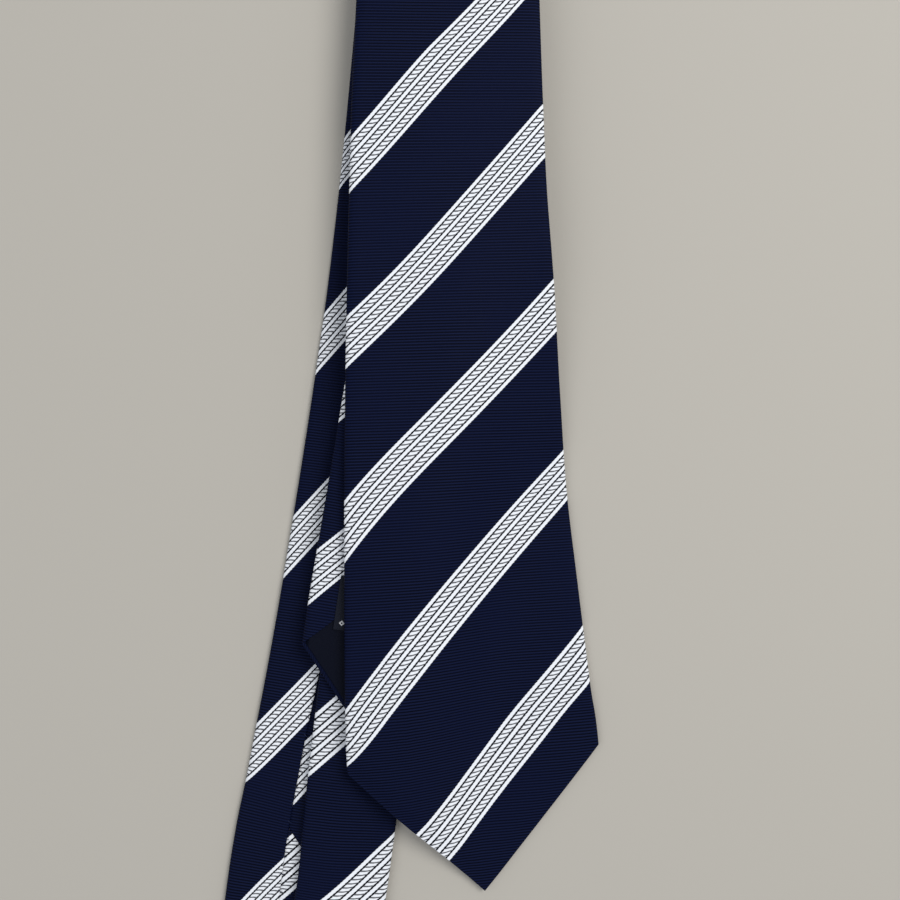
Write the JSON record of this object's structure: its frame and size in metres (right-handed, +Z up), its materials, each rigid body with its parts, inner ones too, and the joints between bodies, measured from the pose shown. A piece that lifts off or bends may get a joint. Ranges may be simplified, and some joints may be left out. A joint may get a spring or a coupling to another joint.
{
  "type": "folded necktie",
  "caption": "Long lined necktie with a wide and a narrow pointed end, folded twice into four flat legs that lie on each other.",
  "frame": {"origin": "on the surface the tie lies on, under the middle of its bounding box", "axes": "+Y from the wide blade's tip towards the top fold, +X to the right of the wide blade seen from above with its tip towards the viewer, +Z up"},
  "size_m": [0.131, 0.4256, 0.0159],
  "materials": {
    "silk": "ribbed navy silk with woven diagonal white stripes",
    "tipping": "smooth slate-navy satin lining",
    "interlining": "brushed off-white wool felt",
    "thread": "navy sewing thread",
    "label": "plain woven satin label without lettering"
  },
  "bodies": {
    "neck": {"front_panel_neckward": "silk", "neck_panel": "silk", "tail_panel_neckward": "silk", "front_interlining_neckward": "interlining", "tail_interlining_neckward": "interlining", "neck_slip_stitch": "thread"},
    "front_blade": {"front_panel": "silk", "front_interlining": "interlining", "front_tipping": "tipping", "front_slip_stitch": "thread", "front_bar_tack": "thread", "brand_label": "label", "label_tack_left": "thread", "label_tack_right": "thread", "keeper_loop": "silk", "keeper_tack_left": "thread", "keeper_tack_right": "thread"},
    "tail_blade": {"tail_panel": "silk", "tail_interlining": "interlining", "tail_tipping": "tipping", "tail_slip_stitch": "thread", "tail_bar_tack": "thread", "care_label": "label"}
  },
  "joints": [
    {"name": "front_blade_fold", "type": "hinge", "parent": "neck", "child": "front_blade", "pos_m": [0.01369, 0.21311, 0.00795], "axis": [-1, 0, 0], "range_deg": [0, 180]},
    {"name": "tail_fold", "type": "hinge", "parent": "neck", "child": "tail_blade", "pos_m": [0.01369, 0.21311, 0.00795], "axis": [-1, 0, 0], "range_deg": [0, 180]}
  ],
  "couplings": [
    {"joint": "tail_fold", "follows": "front_blade_fold", "ratio": 1}
  ]
}
